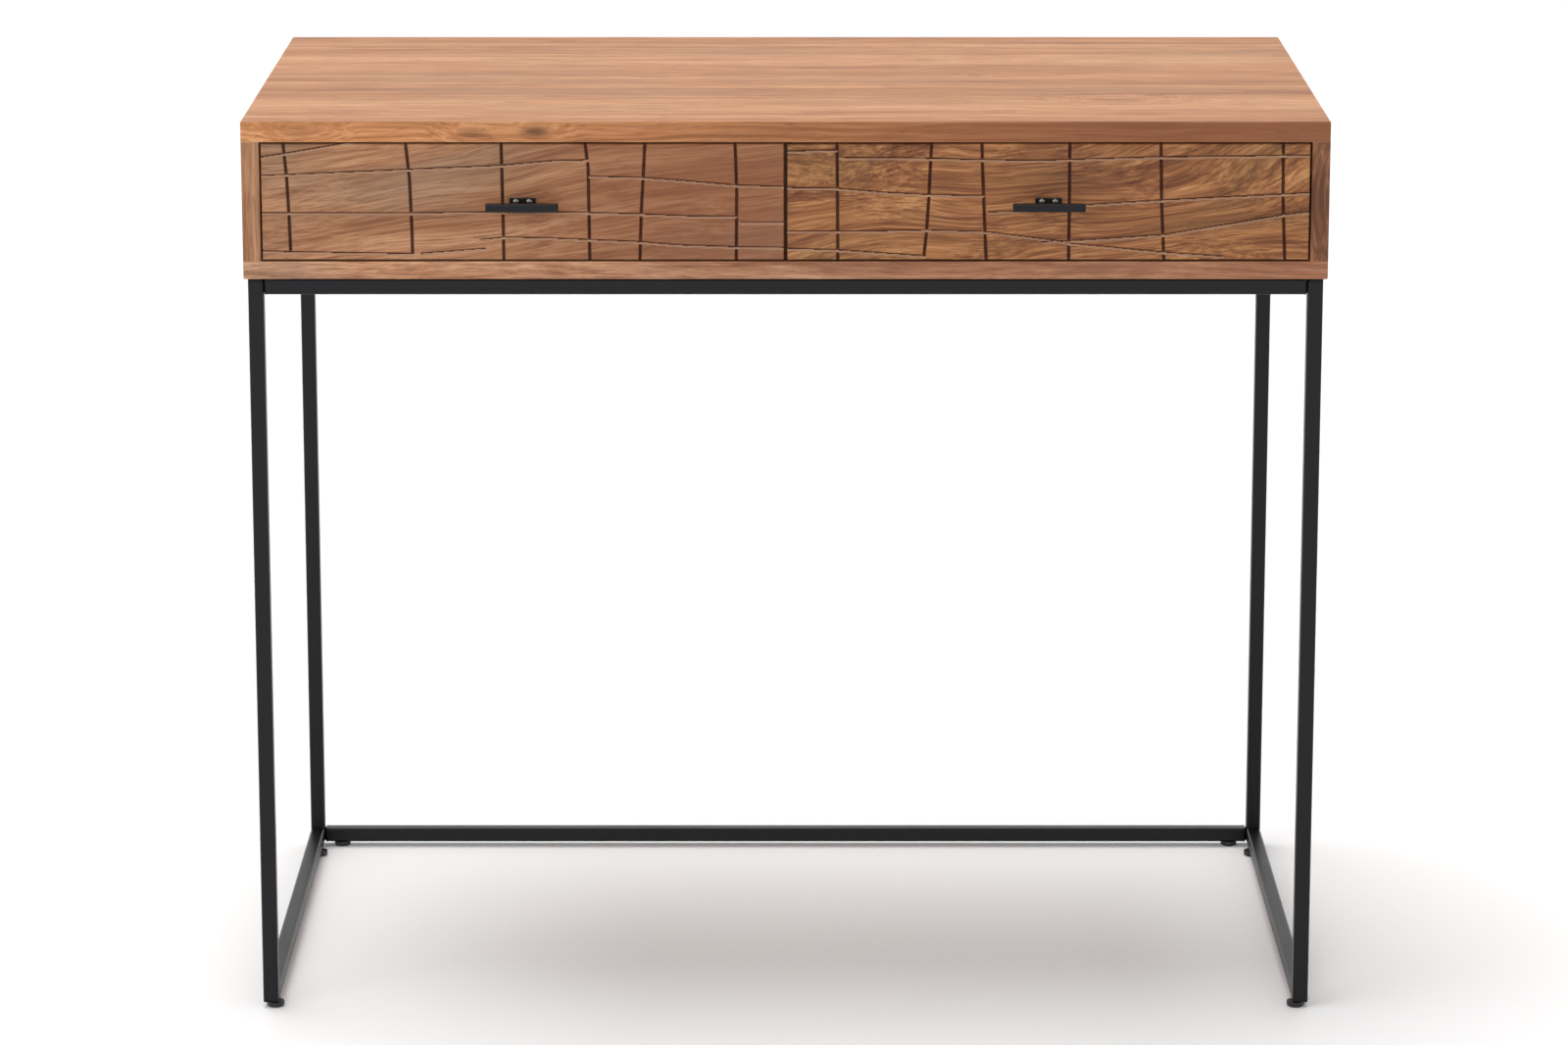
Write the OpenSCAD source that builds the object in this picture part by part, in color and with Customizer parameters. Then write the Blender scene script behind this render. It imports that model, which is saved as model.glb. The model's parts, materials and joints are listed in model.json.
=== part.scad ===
// Writing desk: a shallow wooden case with two inset drawers on a square-tube steel frame.
// The front faces -Y, the drawers pull out along -Y, and the floor is z = 0.

/* [Desk] */
// Overall width of the case
desk_w = 900; // [700:10:1200]
// Depth of the case, front edge to back edge
desk_d = 500; // [400:10:650]
// Height of the desk top above the floor
desk_h = 765; // [600:5:950]

/* [Case] */
// Thickness of the top panel
top_t = 17; // [14:0.5:30]
// Thickness of the bottom, side and partition boards
board_t = 15; // [14:0.5:25]
// Clear height between the top and bottom panels
bay_h = 100; // [80:1:160]
// Thickness of the plywood back
back_t = 5; // [3:0.5:8]
// Distance of the back from the rear edge
back_inset = 8; // [4:1:20]
// Depth of the groove that holds the back
back_groove = 6; // [3:0.5:8]

/* [Drawers] */
// Thickness of a drawer front
front_t = 16; // [12:0.5:22]
// Gap around the drawer fronts
reveal = 1.5; // [1:0.1:3]
// Gap between the two drawer fronts
centre_gap = 3; // [2:0.5:6]
// Space behind a drawer box, in front of the back
box_rear_gap = 41; // [20:1:150]
// Height of a drawer side
box_h = 78; // [55:1:90]
// Thickness of the drawer sides and drawer back
box_t = 12; // [10:0.5:15]
// Gap between the underside of a drawer box and the bottom panel
box_lift = 8; // [4:0.5:15]
// Thickness of the plywood drawer bottom
ply_t = 4; // [3:0.5:6]
// Height of the drawer bottom above the lower edge of the sides
ply_lift = 8; // [5:0.5:15]
// Depth of the groove that holds the drawer bottom
ply_groove = 5; // [3:0.5:7]

/* [Carving] */
// Width of a carved line
line_w = 2; // [1:0.1:4]
// Depth of a carved line
line_depth = 1.5; // [0.5:0.1:3]

/* [Pulls] */
// Length of the pull's bar
bar_w = 60; // [40:1:120]
// Height of the bar
bar_h = 6.5; // [5:0.5:12]
// Front-to-back depth of the bar
bar_d = 8; // [5:0.5:12]
// Distance of the bar's front face from the drawer front
pull_reach = 20; // [16:1:40]
// Width of the tongue and its mounting plate
tongue_w = 22; // [16:1:38]
// Thickness of the tongue
tongue_t = 3; // [2:0.5:5]
// Height of the mounting plate
plate_h = 9; // [8.5:0.5:20]
// Thickness of the mounting plate
plate_t = 2; // [1.5:0.5:4]
// Distance of the bar's centre below the middle of the drawer front
pull_drop = 2; // [0:0.5:6]
// Spacing of the two pull screws
pull_screw_gap = 11; // [8:0.5:12]

/* [Runners] */
// Space between a drawer side and the case for one runner
runner_space = 13; // [12:0.1:16]
// Height of the case half of a runner
runner_h = 35; // [30:1:45]
// How far behind a drawer front a runner starts
runner_front_gap = 4; // [2:0.5:20]
// How far a runner ends short of the drawer box's rear
runner_rear_gap = 26; // [5:1:100]
// Thickness of the runner's steel
runner_wall = 1.2; // [1:0.1:1.5]
// Width of the flanges of the case half
case_flange = 10; // [8:0.5:10]
// Width of the flanges of the drawer half
drawer_flange = 9; // [7:0.5:9]
// Running clearance between the two halves
runner_clear = 0.8; // [0.4:0.1:1.5]

/* [Frame] */
// Outer width of the square tube
tube = 13; // [12:0.5:30]
// Wall thickness of the tube
tube_wall = 1.2; // [1:0.1:1.5]
// Outer corner radius of the tube
tube_r = 2; // [1.6:0.1:3]
// How far the frame stands in from each end of the case
frame_inset = 3.5; // [0:0.5:20]
// Thickness of the plates that close the leg ends
end_plate_t = 2; // [1.5:0.1:2.1]
// Thickness of the flange on a rail's end plug
plug_flange = 2.5; // [2:0.5:4]
// Chamfer around that flange
plug_chamfer = 1.8; // [0.5:0.1:2]
// How far a plug reaches into its rail
plug_l = 18; // [14:1:30]
// Fit of a plug in its rail, each side
plug_fit = 0.15; // [0.1:0.05:0.3]

/* [Fasteners] */
// Diameter of a frame bolt
bolt_d = 5; // [4:0.5:6]
// Length of a frame bolt under its head
bolt_l = 15; // [12:1:18]
// Height of a frame bolt's head
bolt_head_h = 5; // [3:0.5:6]
// Room around a frame bolt's head inside the leg
bolt_head_room = 1; // [1:0.1:1.4]
// Diameter of a case screw
screw_d = 4; // [3:0.5:5]
// Diameter of a case screw's head
screw_head_d = 8; // [7:0.5:9]
// Height of a case screw's head
screw_head_h = 2.5; // [2:0.5:4]
// Distance of a side rail's case screws from the ends of that rail
screw_from_end = 60; // [30:5:120]
// Diameter of a runner or pull screw
small_screw_d = 3; // [2.5:0.5:3.5]
// Head diameter of a runner or pull screw
small_head_d = 5; // [4:0.5:5.5]
// Head height of a runner or pull screw
small_head_h = 1.4; // [1:0.1:1.6]
// How far a runner or pull screw reaches into wood
small_bite = 6.5; // [4:0.5:6.5]
// Diameter of a dowel in the case
dowel_d = 8; // [6:1:8]
// How far a case dowel reaches into the top or bottom panel
dowel_sink = 9; // [6:0.5:10]
// How far a case dowel reaches into a side board
dowel_reach = 16; // [10:1:25]
// Diameter of a dowel in a drawer
box_dowel_d = 6; // [5:0.5:6]
// How far a drawer dowel reaches into each of its two boards
box_dowel_reach = 8; // [6:0.5:9]
// Room around a screw, bolt or dowel in its hole, each side
hole_fit = 0.1; // [0.05:0.05:0.3]

/* [Glides] */
// How much wider than the tube a floor glide is
glide_over = 2; // [0.5:0.5:8]
// Height of a floor glide
glide_h = 4.5; // [3:0.5:10]
// Distance of a glide's centre inward from the middle of its tube
glide_shift = 3.5; // [0:0.5:4]
// Distance of the rear side glides in front of the rear legs
side_glide_gap = 28; // [10:1:100]
// Distance of the rear rail's glides from the rear legs
rail_glide_gap = 16; // [10:1:100]

/* [Hidden] */
$fn = 48;
cut = 1;

// The case, its bays and the frame below it. The pulls reach out in front and the rear
// rail's glides behind, and y = 0 is midway between them.
case_h = top_t + bay_h + board_t;
case_z = desk_h - case_h;
bay_z = case_z + board_t;
top_z = bay_z + bay_h;
glide_d = tube + glide_over;
front_y = (pull_reach - desk_d - glide_over / 2) / 2;
rear_y = front_y + desk_d;
back_y = rear_y - back_inset - back_t;
inner_w = desk_w - 2 * board_t;
inner_x = inner_w / 2;

// The drawer fronts and boxes
front_w = (inner_w - 2 * reveal - centre_gap) / 2;
front_h = bay_h - 2 * reveal;
front_z = bay_z + reveal;
front_x = (centre_gap + front_w) / 2;
stop_gap = 0.5;
box_y = front_y + front_t;
box_l = back_y - box_y - box_rear_gap;
bay_x = (board_t / 2 + inner_x) / 2;
box_w = inner_x - board_t / 2 - 2 * runner_space;
box_z = bay_z + box_lift;
ply_z = box_z + ply_lift;

// The runners
runner_y = box_y + runner_front_gap;
runner_l = box_l - runner_front_gap - runner_rear_gap;
runner_z = box_z + box_h / 2;
runner_screw_inset = 35;
runner_screws_y = [for (d = [runner_screw_inset, runner_l / 2, runner_l - runner_screw_inset]) runner_y + d];
drawer_half_h = runner_h - 2 * runner_wall - 2 * runner_clear;

// The pulls
pull_z = front_z + front_h / 2 - pull_drop;
plate_z = pull_z - bar_h / 2;
pull_screw_margin = 0.5;
pull_screw_z = plate_z + plate_h - small_head_d / 2 - pull_screw_margin;

// The frame
leg_x = desk_w / 2 - frame_inset - tube / 2;
front_leg_y = front_y + tube / 2;
rear_leg_y = rear_y - tube / 2;
leg_gap_x = 2 * leg_x - tube;
leg_gap_y = rear_leg_y - front_leg_y - tube;
top_rail_z = case_z - tube / 2;
low_rail_z = glide_h + tube / 2;
bolt_head_d = tube - 2 * tube_wall - 2 * bolt_head_room;
access_fit = 0.3;
access_d = bolt_head_d + 2 * access_fit;
rail_joints = [[front_leg_y, top_rail_z], [rear_leg_y, top_rail_z], [rear_leg_y, low_rail_z]];
side_screws_y = [front_leg_y + tube / 2 + screw_from_end, rear_leg_y - tube / 2 - screw_from_end];
screw_tip_gap = 1;
screw_bite = board_t - back_groove - screw_tip_gap;

// The dowels of the case: where they stand along the depth, and on which boards
side_dowel_inset = 40;
post_dowel_inset = 60;
side_dowels_y = [front_y + side_dowel_inset, front_y + desk_d / 2, back_y - side_dowel_inset];
post_dowels_y = [box_y + post_dowel_inset, back_y - post_dowel_inset];
side_board_x = inner_x + board_t / 2;
dowel_l = dowel_sink + dowel_reach;
box_dowel_inset = 13;
box_dowels_z = [ply_z + ply_t + box_dowel_inset, box_z + box_h - box_dowel_inset];

// Carved lines of a drawer front, as fractions of its width and height from its
// lower left corner. A line that leaves the front runs a little past its edge. Upright
// lines come first, then the wandering level ones.
left_lines = [
    [[0.043, 1.02], [0.049, 0.7], [0.052, 0.4], [0.054, -0.02]],
    [[0.277, 1.02], [0.284, 0.7], [0.287, 0.3], [0.288, -0.02]],
    [[0.46, 1.02], [0.462, 0.5], [0.463, -0.02]],
    [[0.62, 1.02], [0.626, 0.8], [0.628, -0.02]],
    [[0.735, 1.02], [0.731, 0.7], [0.727, 0.4], [0.724, -0.02]],
    [[0.907, 1.02], [0.91, 0.6], [0.909, -0.02]],
    [[-0.01, 0.875], [0.043, 0.91], [0.2, 1.03]],
    [[-0.01, 0.72], [0.045, 0.73], [0.28, 0.775], [0.462, 0.81], [0.52, 0.835], [0.56, 0.85], [0.627, 0.857]],
    [[-0.01, 0.4], [0.28, 0.397], [0.43, 0.41], [0.57, 0.41], [0.727, 0.39], [0.82, 0.373], [0.909, 0.37]],
    [[-0.01, 0.072], [0.052, 0.063], [0.288, 0.047]],
    [[0.306, 0.05], [0.426, 0.093]],
    [[0.426, 0.173], [0.463, 0.19], [0.55, 0.183], [0.725, 0.15], [0.79, 0.125], [0.91, 0.105], [1.01, 0.1]],
    [[0.627, 0.716], [0.73, 0.705], [0.79, 0.685], [0.909, 0.64], [1.01, 0.625]],
    [[0.919, 0.317], [1.01, 0.317]],
];
right_lines = [
    [[0.095, 1.02], [0.096, 0.6], [0.097, -0.02]],
    [[0.276, 1.02], [0.274, 0.84], [0.271, 0.54], [0.267, 0.24], [0.262, -0.02]],
    [[0.372, 1.02], [0.373, 0.84], [0.376, 0.54], [0.379, 0.24], [0.382, -0.02]],
    [[0.54, 1.02], [0.54, -0.02]],
    [[0.714, 1.02], [0.717, 0.48], [0.723, -0.02]],
    [[0.948, 1.02], [0.949, 0.55], [0.955, -0.02]],
    [[-0.01, 0.93], [0.095, 0.942]],
    [[0.103, 0.878], [0.276, 0.87], [0.373, 0.858], [0.49, 0.853], [0.714, 0.882], [0.948, 0.895],
     [1.01, 0.895]],
    [[-0.01, 0.62], [0.095, 0.613], [0.185, 0.577], [0.272, 0.558], [0.376, 0.548]],
    [[0.386, 0.407], [0.44, 0.417], [0.57, 0.47], [0.716, 0.51], [0.949, 0.562], [1.01, 0.577]],
    [[-0.01, 0.24], [0.15, 0.24], [0.268, 0.253], [0.38, 0.237], [0.508, 0.165], [0.54, 0.138], [0.72, 0.06],
     [0.835, 0.025]],
    [[-0.01, 0.095], [0.096, 0.08], [0.264, 0.028]],
    [[0.49, 0.15], [0.54, 0.157], [0.72, 0.21], [0.952, 0.383], [1.01, 0.415]],
];

// A box from its middle in x, and its lowest y and z
module board(x, y, z, size) {
    translate([x - size.x / 2, y, z]) cube(size);
}

// A cylinder along +X, +Y or +Z that starts at a point
module pin_x(p, d, l) { translate(p) rotate([0, 90, 0]) cylinder(d = d, h = l); }
module pin_y(p, d, l) { translate(p) rotate([-90, 0, 0]) cylinder(d = d, h = l); }
module pin_z(p, d, l) { translate(p) cylinder(d = d, h = l); }

// ---- Case ----

// Upright dowels: at each joint of a side board or the partition with a panel
module upright_dowels(x, ys, room) {
    for (y = ys) {
        pin_z([x, y, top_z - dowel_reach - room], dowel_d + 2 * room, dowel_l + 2 * room);
        pin_z([x, y, bay_z - dowel_sink - room], dowel_d + 2 * room, dowel_l + 2 * room);
    }
}

module all_case_dowels(room) {
    for (side = [-1, 1]) upright_dowels(side * side_board_x, side_dowels_y, room);
    upright_dowels(0, post_dowels_y, room);
}

module case_dowels() {
    color("burlywood") all_case_dowels(0);
}

// The plywood back stands in a groove in the top, the bottom and both sides
module back_sheet() {
    w = inner_w + 2 * back_groove;
    h = bay_h + 2 * back_groove;
    board(0, back_y, bay_z - back_groove, [w, back_t, h]);
}

module back_panel() {
    color("peru") back_sheet();
}

module top_panel() {
    color("burlywood") difference() {
        board(0, front_y, top_z, [desk_w, desk_d, top_t]);
        all_case_dowels(hole_fit);
        back_sheet();
    }
}

module bottom_panel() {
    color("burlywood") difference() {
        board(0, front_y, case_z, [desk_w, desk_d, board_t]);
        all_case_dowels(hole_fit);
        all_case_screws(hole_fit);
        back_sheet();
    }
}

module side_panel(side) {
    color("tan") difference() {
        board(side * side_board_x, front_y, bay_z, [board_t, desk_d, bay_h]);
        all_case_dowels(hole_fit);
        case_screw_row(side, hole_fit);
        back_sheet();
    }
}

module left_side_panel() { side_panel(-1); }
module right_side_panel() { side_panel(1); }

// The partition stands behind the meeting edges of the two drawer fronts
module centre_partition() {
    y = box_y + stop_gap;
    color("tan") difference() {
        board(0, y, bay_z, [board_t, back_y - y, bay_h]);
        all_case_dowels(hole_fit);
        partition_screw_rows(hole_fit);
    }
}

// ---- Runners ----

// A runner half on a wall at x: its web lies on the wall and its flanges point along dir
module channel(x, dir, height, flange) {
    z = runner_z - height / 2;
    translate([x, runner_y, z]) mirror([dir < 0 ? 1 : 0, 0, 0]) difference() {
        cube([flange, runner_l, height]);
        translate([runner_wall, -cut, runner_wall])
            cube([flange, runner_l + 2 * cut, height - 2 * runner_wall]);
        for (y = runner_screws_y)
            pin_x([-cut, y - runner_y, height / 2], small_screw_d + 2 * hole_fit, 3 * cut);
    }
}

// A screw through a runner's web, its point along dir
module runner_screw(x, y, dir, room) {
    translate([x, y, runner_z]) mirror([dir < 0 ? 1 : 0, 0, 0]) {
        pin_x([0, 0, 0], small_screw_d + 2 * room, runner_wall + small_bite + room);
        pin_x([-small_head_h, 0, 0], small_head_d, small_head_h);
    }
}

module screw_row(x, dir, room) {
    for (y = runner_screws_y) runner_screw(x, y, dir, room);
}

module case_screw_row(side, room) {
    screw_row(side * (inner_x - runner_wall), side, room);
}

module partition_screw_rows(room) {
    for (side = [-1, 1]) screw_row(side * (board_t / 2 + runner_wall), -side, room);
}

module left_bay_outer_runner() { color("silver") channel(-inner_x, 1, runner_h, case_flange); }
module left_bay_inner_runner() { color("silver") channel(-board_t / 2, -1, runner_h, case_flange); }
module right_bay_inner_runner() { color("silver") channel(board_t / 2, 1, runner_h, case_flange); }
module right_bay_outer_runner() { color("silver") channel(inner_x, -1, runner_h, case_flange); }

module case_runner_screws() {
    color("gainsboro") {
        case_screw_row(-1, 0);
        case_screw_row(1, 0);
        partition_screw_rows(0);
    }
}

// The drawer half of a runner, on the side of a drawer box that lies at dir
module slide_half(side, dir) {
    color("lightgrey") channel(side * bay_x + dir * box_w / 2, dir, drawer_half_h, drawer_flange);
}

module slide_screws(side, room) {
    for (dir = [-1, 1]) screw_row(side * bay_x + dir * (box_w / 2 + runner_wall), -dir, room);
}

// ---- Drawers ----

// The direction square to a route at one of its points
function along(a, b) = (b - a) / norm(b - a);
function square_to(route, i) = let(
    last = len(route) - 1,
    before = along(route[max(i - 1, 0)], route[max(i, 1)]),
    after = along(route[min(i, last - 1)], route[min(i + 1, last)]),
    middle = before + after)
    [-middle.y, middle.x] / norm(middle);

// One carved line: a band of even width that follows its route
module carved_line(fractions) {
    route = [for (p = fractions) [p.x * front_w, p.y * front_h]];
    last = len(route) - 1;
    upper = [for (i = [0 : last]) route[i] + square_to(route, i) * line_w / 2];
    lower = [for (i = [last : -1 : 0]) route[i] - square_to(route, i) * line_w / 2];
    polygon(concat(upper, lower));
}

// All the carved lines of a front, cut into its face
module carving(side, lines) {
    translate([side * front_x - front_w / 2, front_y + line_depth, front_z])
        rotate([90, 0, 0]) linear_extrude(line_depth + cut) for (route = lines) carved_line(route);
}

// Level dowels along Y that join a drawer's sides to its front, and along X to its back
module box_dowels(side, room) {
    d = box_dowel_d + 2 * room;
    l = 2 * (box_dowel_reach + room);
    back_mid_y = box_y + box_l - box_t / 2;
    for (dir = [-1, 1], z = box_dowels_z) {
        pin_y([side * bay_x + dir * (box_w - box_t) / 2, box_y - l / 2, z], d, l);
        pin_x([side * bay_x + dir * (box_w / 2 - box_t) - l / 2, back_mid_y, z], d, l);
    }
}

// The plywood bottom stands in a groove in the front, the sides and the back
module ply_sheet(side) {
    w = box_w - 2 * box_t + 2 * ply_groove;
    l = box_l - box_t + 2 * ply_groove;
    board(side * bay_x, box_y - ply_groove, ply_z, [w, l, ply_t]);
}

module drawer_front(side, lines) {
    color("peru") difference() {
        board(side * front_x, front_y, front_z, [front_w, front_t, front_h]);
        carving(side, lines);
        ply_sheet(side);
        box_dowels(side, hole_fit);
        pull_screws(side, hole_fit);
    }
}

module drawer_side(side, dir) {
    color("wheat") difference() {
        board(side * bay_x + dir * (box_w - box_t) / 2, box_y, box_z, [box_t, box_l, box_h]);
        ply_sheet(side);
        box_dowels(side, hole_fit);
        slide_screws(side, hole_fit);
    }
}

module drawer_back(side) {
    color("wheat") difference() {
        board(side * bay_x, box_y + box_l - box_t, box_z, [box_w - 2 * box_t, box_t, box_h]);
        ply_sheet(side);
        box_dowels(side, hole_fit);
    }
}

module left_drawer_front() { drawer_front(-1, left_lines); }
module left_drawer_left_side() { drawer_side(-1, -1); }
module left_drawer_right_side() { drawer_side(-1, 1); }
module left_drawer_back() { drawer_back(-1); }
module left_drawer_bottom() { color("wheat") ply_sheet(-1); }
module left_drawer_dowels() { color("burlywood") box_dowels(-1, 0); }
module left_drawer_outer_slide() { slide_half(-1, -1); }
module left_drawer_inner_slide() { slide_half(-1, 1); }
module left_drawer_slide_screws() { color("gainsboro") slide_screws(-1, 0); }

module right_drawer_front() { drawer_front(1, right_lines); }
module right_drawer_left_side() { drawer_side(1, -1); }
module right_drawer_right_side() { drawer_side(1, 1); }
module right_drawer_back() { drawer_back(1); }
module right_drawer_bottom() { color("wheat") ply_sheet(1); }
module right_drawer_dowels() { color("burlywood") box_dowels(1, 0); }
module right_drawer_inner_slide() { slide_half(1, -1); }
module right_drawer_outer_slide() { slide_half(1, 1); }
module right_drawer_slide_screws() { color("gainsboro") slide_screws(1, 0); }

// ---- Pulls ----

// Two screws through the top of a pull's plate into the drawer front
module pull_screws(side, room) {
    for (dx = [-1, 1]) {
        x = side * front_x + dx * pull_screw_gap / 2;
        pin_y([x, front_y - plate_t, pull_screw_z], small_screw_d + 2 * room, plate_t + small_bite + room);
        pin_y([x, front_y - plate_t - small_head_h, pull_screw_z], small_head_d, small_head_h);
    }
}

// An upright plate, a tongue out of its lower half and a bar along the tongue's end
module pull(side) {
    bar_y = front_y - pull_reach;
    color([0.09, 0.09, 0.1]) difference() {
        union() {
            board(side * front_x, bar_y, pull_z - bar_h / 2, [bar_w, bar_d, bar_h]);
            board(side * front_x, bar_y, pull_z - tongue_t / 2, [tongue_w, pull_reach, tongue_t]);
            board(side * front_x, front_y - plate_t, plate_z, [tongue_w, plate_t, plate_h]);
        }
        pull_screws(side, hole_fit);
    }
}

module left_pull() { pull(-1); }
module left_pull_screws() { color("silver") pull_screws(-1, 0); }
module right_pull() { pull(1); }
module right_pull_screws() { color("silver") pull_screws(1, 0); }

// ---- Frame ----

// A square with round corners, centred
module round_square(width, radius) {
    square([width - 2 * radius, width], center = true);
    square([width, width - 2 * radius], center = true);
    for (x = [-1, 1], y = [-1, 1])
        translate([x * (width / 2 - radius), y * (width / 2 - radius)]) circle(r = radius);
}

// A hollow tube along +Z from the origin
module tube_z(length) {
    linear_extrude(length) difference() {
        round_square(tube, tube_r);
        round_square(tube - 2 * tube_wall, tube_r - tube_wall);
    }
}

module leg(side, y) {
    color([0.1, 0.1, 0.11]) difference() {
        translate([side * leg_x, y, glide_h + end_plate_t])
            tube_z(case_z - glide_h - 2 * end_plate_t);
        frame_bolt_holes();
    }
}

module side_rail(side, z) {
    color([0.1, 0.1, 0.11]) difference() {
        translate([side * leg_x, front_leg_y + tube / 2, z]) rotate([-90, 0, 0]) tube_z(leg_gap_y);
        all_case_screws(hole_fit);
    }
}

module cross_rail(y, z) {
    length = leg_gap_x - 2 * plug_flange;
    color([0.1, 0.1, 0.11]) difference() {
        translate([-length / 2, y, z]) rotate([0, 90, 0]) tube_z(length);
        all_case_screws(hole_fit);
    }
}

module left_front_leg() { leg(-1, front_leg_y); }
module left_rear_leg() { leg(-1, rear_leg_y); }
module left_top_rail() { side_rail(-1, top_rail_z); }
module left_low_rail() { side_rail(-1, low_rail_z); }
module right_front_leg() { leg(1, front_leg_y); }
module right_rear_leg() { leg(1, rear_leg_y); }
module right_top_rail() { side_rail(1, top_rail_z); }
module right_low_rail() { side_rail(1, low_rail_z); }
module front_cross_rail() { cross_rail(front_leg_y, top_rail_z); }
module rear_cross_rail() { cross_rail(rear_leg_y, top_rail_z); }
module low_cross_rail() { cross_rail(rear_leg_y, low_rail_z); }

// Plates that close both ends of each leg
module leg_end_plates() {
    color([0.1, 0.1, 0.11])
        for (side = [-1, 1], y = [front_leg_y, rear_leg_y], z = [glide_h, case_z - end_plate_t])
            translate([side * leg_x, y, z]) linear_extrude(end_plate_t) round_square(tube, tube_r);
}

// A plug in the left end of a rail that starts at the origin and runs along +X
module end_plug() {
    rim = tube / 2;
    slope = [[0, -rim + plug_chamfer], [plug_chamfer, -rim], [plug_flange, -rim],
             [plug_flange, rim], [plug_chamfer, rim], [0, rim - plug_chamfer]];
    core = tube - 2 * tube_wall - 2 * plug_fit;
    difference() {
        union() {
            intersection() {
                translate([0, 0, -rim]) linear_extrude(tube) polygon(slope);
                translate([0, rim, 0]) rotate([90, 0, 0]) linear_extrude(tube) polygon(slope);
            }
            translate([plug_flange, 0, 0]) rotate([0, 90, 0])
                linear_extrude(plug_l) round_square(core, tube_r - tube_wall);
        }
        pin_x([-cut, 0, 0], bolt_d + 2 * hole_fit, plug_flange + plug_l + 2 * cut);
    }
}

module rail_end_plugs() {
    color([0.12, 0.12, 0.13])
        for (side = [-1, 1], joint = rail_joints)
            translate([side * leg_gap_x / 2, joint.x, joint.y])
                mirror([side > 0 ? 1 : 0, 0, 0]) end_plug();
}

// A bolt whose head bears on the inner wall of a leg, and whose point runs along dir
module frame_bolt(side, joint) {
    translate([side * (leg_gap_x / 2 + tube_wall), joint.x, joint.y])
        mirror([side > 0 ? 1 : 0, 0, 0]) {
            pin_x([0, 0, 0], bolt_d, bolt_l);
            pin_x([-bolt_head_h, 0, 0], bolt_head_d, bolt_head_h);
        }
}

module frame_bolts() {
    color("dimgrey") for (side = [-1, 1], joint = rail_joints) frame_bolt(side, joint);
}

// A bolt's clearance hole in the inner wall and its access hole in the outer wall
module frame_bolt_holes() {
    for (side = [-1, 1], joint = rail_joints)
        translate([side * leg_x, joint.x, joint.y]) mirror([side > 0 ? 1 : 0, 0, 0]) {
            pin_x([0, 0, 0], bolt_d + 2 * hole_fit, tube);
            pin_x([-tube, 0, 0], access_d, tube);
        }
}

// Screws up through the side rails and the rear cross rail into the bottom panel
module case_screw(x, y, room) {
    z = case_z - tube;
    pin_z([x, y, z], screw_d + 2 * room, tube + screw_bite + room);
    pin_z([x, y, z - screw_head_h], screw_head_d, screw_head_h);
}

module all_case_screws(room) {
    for (side = [-1, 1], y = side_screws_y) case_screw(side * leg_x, y, room);
    case_screw(0, rear_leg_y, room);
}

module case_screws() {
    color("dimgrey") all_case_screws(0);
}

// ---- Glides ----

// A domed disc under a tube: half of its height is straight and half is round
module glide(x, y) {
    flat = glide_d / 2;
    rim = glide_h / 2;
    color([0.07, 0.07, 0.07]) translate([x, y, 0]) rotate_extrude() union() {
        translate([0, rim]) square([flat, glide_h - rim]);
        square([flat - rim, rim]);
        intersection() {
            translate([flat - rim, rim]) circle(r = rim);
            translate([flat - rim, 0]) square(rim);
        }
    }
}

glide_x = leg_x - glide_shift;
side_glide_y = rear_leg_y - tube / 2 - side_glide_gap;
rail_glide_x = leg_gap_x / 2 - rail_glide_gap;

module left_front_glide() { glide(-glide_x, front_leg_y); }
module right_front_glide() { glide(glide_x, front_leg_y); }
module left_side_glide() { glide(-glide_x, side_glide_y); }
module right_side_glide() { glide(glide_x, side_glide_y); }
module left_rail_glide() { glide(-rail_glide_x, rear_leg_y); }
module right_rail_glide() { glide(rail_glide_x, rear_leg_y); }

top_panel();
bottom_panel();
left_side_panel();
right_side_panel();
back_panel();
centre_partition();
case_dowels();
left_bay_outer_runner();
left_bay_inner_runner();
right_bay_inner_runner();
right_bay_outer_runner();
case_runner_screws();
left_drawer_front();
left_drawer_left_side();
left_drawer_right_side();
left_drawer_back();
left_drawer_bottom();
left_drawer_dowels();
left_drawer_outer_slide();
left_drawer_inner_slide();
left_drawer_slide_screws();
left_pull();
left_pull_screws();
right_drawer_front();
right_drawer_left_side();
right_drawer_right_side();
right_drawer_back();
right_drawer_bottom();
right_drawer_dowels();
right_drawer_inner_slide();
right_drawer_outer_slide();
right_drawer_slide_screws();
right_pull();
right_pull_screws();
left_front_leg();
left_rear_leg();
left_top_rail();
left_low_rail();
right_front_leg();
right_rear_leg();
right_top_rail();
right_low_rail();
front_cross_rail();
rear_cross_rail();
low_cross_rail();
leg_end_plates();
rail_end_plugs();
frame_bolts();
case_screws();
left_front_glide();
right_front_glide();
left_side_glide();
right_side_glide();
left_rail_glide();
right_rail_glide();
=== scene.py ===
# %% [markdown]
# # A writing desk in acacia and black steel
#
# The real desk is a shallow wooden case on a frame of slim square tube. Two inset drawers have
# fronts that someone carved with thin, wandering lines, and each has one small black bar pull.
#
# The CAD model already holds every board, tube and screw at its real place, in metres: the floor
# is z = 0, the front faces -Y and the drawers pull out along -Y. This lesson gives those parts the
# look of the real ones. Wood gets eased edges and its grain, the fronts get their carving, and the
# metal gets its coating. Shapes that are already right keep the CAD mesh, and only receive a
# material.

# %% Load the frame
import json
import math

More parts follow.
